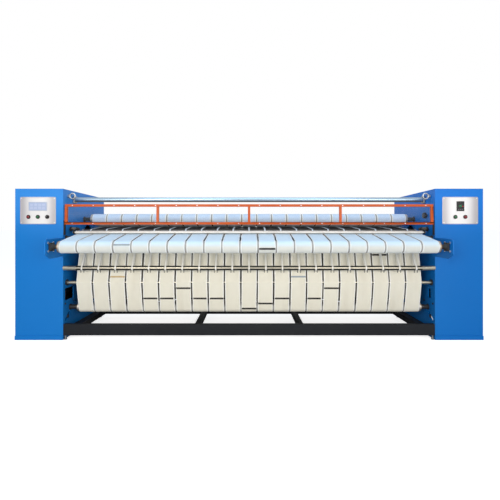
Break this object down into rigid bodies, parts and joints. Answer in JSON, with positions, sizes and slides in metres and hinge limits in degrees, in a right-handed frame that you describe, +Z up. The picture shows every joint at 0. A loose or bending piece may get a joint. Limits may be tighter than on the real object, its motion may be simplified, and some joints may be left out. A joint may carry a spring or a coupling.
{
  "type": "flatwork ironer",
  "caption": "Industrial flatwork ironer: felt feed belts, hinged guard and belt-wrapped heated drum between two blue drive cabinets.",
  "frame": {"origin": "on the floor under the middle of the machine's bounding box", "axes": "+X across the machine to the operator's right, +Y from the feed side to the back, +Z up"},
  "size_m": [4.6, 1.48, 1.485],
  "materials": {
    "blue_paint": "semi-gloss enamel",
    "grey_steel": "satin",
    "zinc_steel": "zinc plated",
    "black_paint": "satin",
    "bearing_iron": "black painted",
    "feed_felt": "woven felt",
    "iron_felt": "woven felt",
    "tape_cloth": "cotton tape",
    "roller_steel": "turned",
    "chrome_tube": "polished",
    "chain_steel": "oiled",
    "brass_joint": "machined",
    "pipe_steel": "mill",
    "stainless": "brushed",
    "display_plastic": "screen",
    "black_plastic": "moulded",
    "collar_chrome": "polished",
    "red_plastic": "moulded",
    "green_plastic": "moulded",
    "orange_paint": "semi-gloss",
    "clear_pane": "clear sheet"
  },
  "bodies": {
    "frame": {"side_frame_left": "blue_paint", "side_frame_right": "blue_paint", "cabinet_fronts": "blue_paint", "cabinet_tops": "blue_paint", "cabinet_backs": "blue_paint", "cabinet_posts": "grey_steel", "cabinet_plinths": "blue_paint", "door_hinges": "zinc_steel", "base_front_beam": "black_paint", "base_rear_beam": "black_paint", "base_side_rails": "black_paint", "base_cross_rails": "black_paint", "levelling_feet": "black_paint", "feed_brackets": "blue_paint", "feed_bearings": "bearing_iron", "feed_belts": "feed_felt", "ironing_belts": "iron_felt", "guide_tapes": "tape_cloth", "nip_supports": "black_paint", "top_tube": "chrome_tube", "lifting_eyes": "zinc_steel", "drum_bearings": "bearing_iron", "drive_chain": "chain_steel", "gear_motor": "grey_steel", "steam_joint": "brass_joint", "steam_pipes": "pipe_steel", "bend_rod": "chrome_tube", "exit_rod": "chrome_tube", "rod_bushes": "black_paint", "roller_bearings": "bearing_iron", "control_plates": "stainless", "display": "display_plastic", "temperature_controller": "black_plastic", "switch_bodies": "collar_chrome", "bolts_and_screws": "zinc_steel", "electric_box": "grey_steel"},
    "drum": {"drum_shell": "roller_steel", "drum_ends": "roller_steel", "drum_sprocket": "zinc_steel"},
    "top_roller": {"top_roller": "roller_steel"},
    "turn_roller": {"turn_roller": "roller_steel"},
    "bottom_roller": {"bottom_roller": "roller_steel"},
    "rear_bottom_roller": {"rear_bottom_roller": "roller_steel"},
    "rear_top_roller": {"rear_top_roller": "roller_steel"},
    "tape_idler": {"tape_idler": "roller_steel"},
    "feed_front_roller": {"feed_front_roller": "roller_steel"},
    "feed_rear_roller": {"feed_rear_roller": "roller_steel"},
    "press_arms": {"press_arms": "zinc_steel"},
    "press_roller": {"press_roller": "roller_steel"},
    "motor_sprocket": {"motor_sprocket": "zinc_steel"},
    "guard": {"guard_frame": "orange_paint", "guard_panes": "clear_pane"},
    "door_left": {"side_door_left": "blue_paint"},
    "door_right": {"side_door_right": "blue_paint"},
    "left_red_button": {"left_red_button": "red_plastic"},
    "left_green_button": {"left_green_button": "green_plastic"},
    "left_selector": {"left_selector": "black_plastic"},
    "right_green_button": {"right_green_button": "green_plastic"},
    "right_red_button": {"right_red_button": "red_plastic"},
    "hand_knob": {"hand_knob": "black_plastic"}
  },
  "joints": [
    {"name": "drum_spin", "type": "hinge", "parent": "frame", "child": "drum", "pos_m": [0, 0.22, 0.705], "axis": [-1, 0, 0], "continuous": true},
    {"name": "top_roller_spin", "type": "hinge", "parent": "frame", "child": "top_roller", "pos_m": [0, 0.115, 1.18873], "axis": [-1, 0, 0], "continuous": true},
    {"name": "turn_roller_spin", "type": "hinge", "parent": "frame", "child": "turn_roller", "pos_m": [0, -0.21474, 0.87], "axis": [-1, 0, 0], "continuous": true},
    {"name": "bottom_roller_spin", "type": "hinge", "parent": "frame", "child": "bottom_roller", "pos_m": [0, -0.23, 0.296], "axis": [-1, 0, 0], "continuous": true},
    {"name": "rear_bottom_roller_spin", "type": "hinge", "parent": "frame", "child": "rear_bottom_roller", "pos_m": [0, 0.62, 0.25], "axis": [-1, 0, 0], "continuous": true},
    {"name": "rear_top_roller_spin", "type": "hinge", "parent": "frame", "child": "rear_top_roller", "pos_m": [0, 0.62, 1.15], "axis": [-1, 0, 0], "continuous": true},
    {"name": "tape_idler_spin", "type": "hinge", "parent": "frame", "child": "tape_idler", "pos_m": [0, -0.137, 1.05507], "axis": [-1, 0, 0], "continuous": true},
    {"name": "feed_front_roller_spin", "type": "hinge", "parent": "frame", "child": "feed_front_roller", "pos_m": [0, -0.645, 0.93], "axis": [-1, 0, 0], "continuous": true},
    {"name": "feed_rear_roller_spin", "type": "hinge", "parent": "frame", "child": "feed_rear_roller", "pos_m": [0, -0.32, 0.995], "axis": [-1, 0, 0], "continuous": true},
    {"name": "press_lift", "type": "hinge", "parent": "frame", "child": "press_arms", "pos_m": [0, -0.235, 1.086], "axis": [-1, 0, 0], "range_deg": [0, 20]},
    {"name": "press_roller_spin", "type": "hinge", "parent": "press_arms", "child": "press_roller", "pos_m": [0, -0.32, 1.0546], "axis": [-1, 0, 0], "continuous": true},
    {"name": "motor_sprocket_spin", "type": "hinge", "parent": "frame", "child": "motor_sprocket", "pos_m": [0, -0.05, 0.25], "axis": [-1, 0, 0], "continuous": true},
    {"name": "guard_swing", "type": "hinge", "parent": "frame", "child": "guard", "pos_m": [0, -0.356, 1.145], "axis": [-1, 0, 0], "range_deg": [0, 25], "stiffness_Nm_per_rad": 20, "springref_deg": -20.05},
    {"name": "door_left_swing", "type": "hinge", "parent": "frame", "child": "door_left", "pos_m": [-2.293, 0.7, 0.8], "axis": [0, 0, -1], "range_deg": [0, 110]},
    {"name": "door_right_swing", "type": "hinge", "parent": "frame", "child": "door_right", "pos_m": [2.293, 0.7, 0.8], "axis": [0, 0, 1], "range_deg": [0, 110]},
    {"name": "left_red_button_press", "type": "slide", "parent": "frame", "child": "left_red_button", "axis": [0, 1, 0], "range_m": [0, 0.004], "stiffness_N_per_m": 600},
    {"name": "left_green_button_press", "type": "slide", "parent": "frame", "child": "left_green_button", "axis": [0, 1, 0], "range_m": [0, 0.004], "stiffness_N_per_m": 600},
    {"name": "right_green_button_press", "type": "slide", "parent": "frame", "child": "right_green_button", "axis": [0, 1, 0], "range_m": [0, 0.004], "stiffness_N_per_m": 600},
    {"name": "right_red_button_press", "type": "slide", "parent": "frame", "child": "right_red_button", "axis": [0, 1, 0], "range_m": [0, 0.004], "stiffness_N_per_m": 600},
    {"name": "left_selector_turn", "type": "hinge", "parent": "frame", "child": "left_selector", "pos_m": [-1.978, -0.38, 1.208], "axis": [0, -1, 0], "range_deg": [-45, 45]},
    {"name": "hand_knob_turn", "type": "hinge", "parent": "frame", "child": "hand_knob", "pos_m": [1.8, -0.204, 1.225], "axis": [-1, 0, 0], "range_deg": [-150, 150]}
  ],
  "couplings": [
    {"joint": "top_roller_spin", "follows": "drum_spin", "ratio": -7.0789},
    {"joint": "turn_roller_spin", "follows": "drum_spin", "ratio": -8.5834},
    {"joint": "bottom_roller_spin", "follows": "drum_spin", "ratio": -8.4048},
    {"joint": "rear_bottom_roller_spin", "follows": "drum_spin", "ratio": -9.604},
    {"joint": "rear_top_roller_spin", "follows": "drum_spin", "ratio": -9.604},
    {"joint": "tape_idler_spin", "follows": "drum_spin", "ratio": 12.916},
    {"joint": "feed_front_roller_spin", "follows": "drum_spin", "ratio": 7.1732},
    {"joint": "feed_rear_roller_spin", "follows": "drum_spin", "ratio": 10.021},
    {"joint": "press_roller_spin", "follows": "drum_spin", "ratio": -23.756},
    {"joint": "motor_sprocket_spin", "follows": "drum_spin", "ratio": 4.8}
  ]
}
